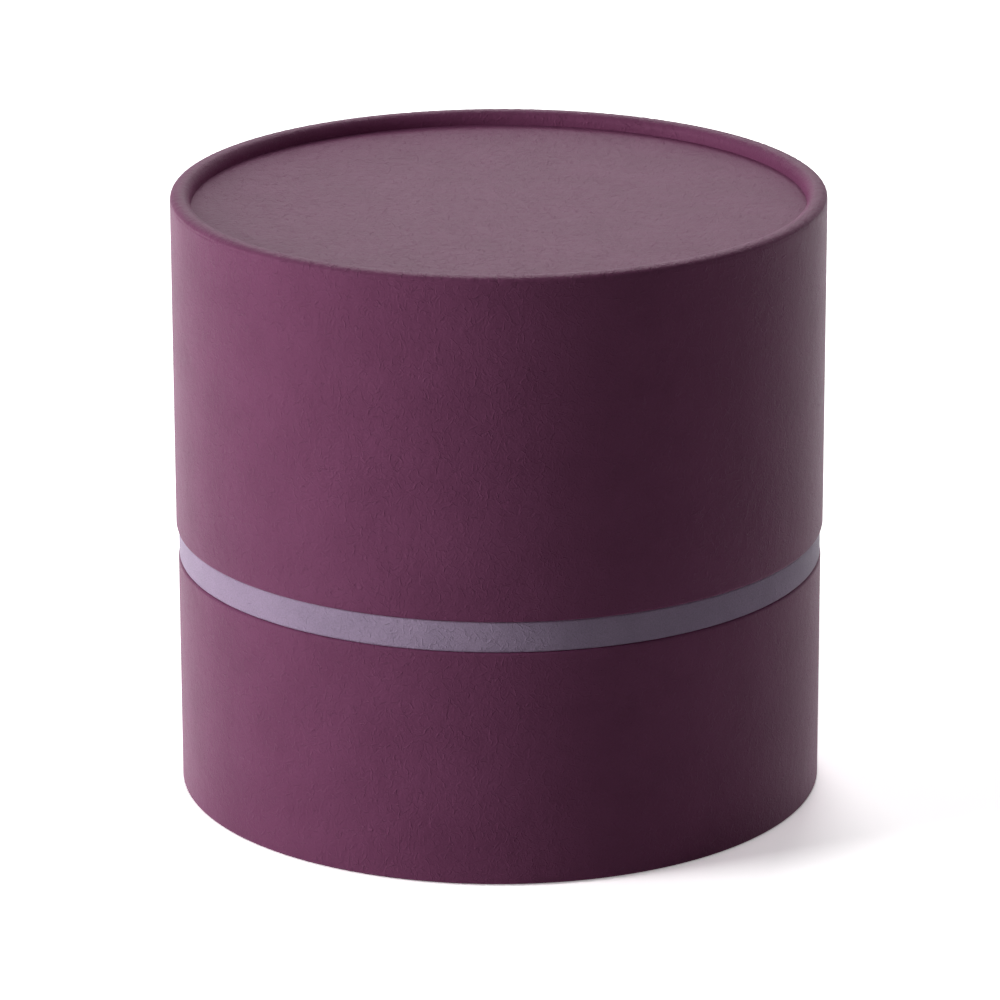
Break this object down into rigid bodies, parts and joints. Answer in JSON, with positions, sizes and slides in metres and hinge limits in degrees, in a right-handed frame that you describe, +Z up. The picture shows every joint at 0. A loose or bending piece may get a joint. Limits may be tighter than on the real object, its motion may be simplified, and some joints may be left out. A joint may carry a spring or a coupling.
{
  "type": "cylindrical gift tube box",
  "caption": "Round rigid gift box with a lift-off lid, rolled rim over a recessed top, flush coloured collar and an inner neck.",
  "frame": {"origin": "centre of the underside, where the box stands", "axes": "+Z up along the axis of the box, -Y towards the front as pictured, the wraps' glued laps at +Y"},
  "size_m": [0.11, 0.1102, 0.1037],
  "materials": {
    "plum_paper": "plum uncoated paper with a fine fibre texture",
    "lavender_paper": "lavender uncoated paper, finely speckled",
    "ivory_paper": "smooth ivory lining paper",
    "greyboard": "bare grey board, cut edges"
  },
  "bodies": {
    "base": {"base_tube": "greyboard", "base_wrap": "plum_paper", "base_bottom_disc": "greyboard", "base_bottom_cover": "plum_paper", "neck_tube": "greyboard", "neck_wrap": "lavender_paper", "neck_lining": "ivory_paper", "floor_lining": "ivory_paper", "collar_ring": "greyboard", "collar_wrap": "lavender_paper"},
    "lid": {"lid_tube": "greyboard", "lid_wrap": "plum_paper", "lid_top_disc": "greyboard", "lid_top_cover": "plum_paper", "lid_lining": "ivory_paper", "lid_ceiling_lining": "ivory_paper"}
  },
  "joints": [
    {"name": "lid_lift", "type": "slide", "parent": "base", "child": "lid", "axis": [0, 0, 1], "range_m": [0, 0.08]}
  ]
}
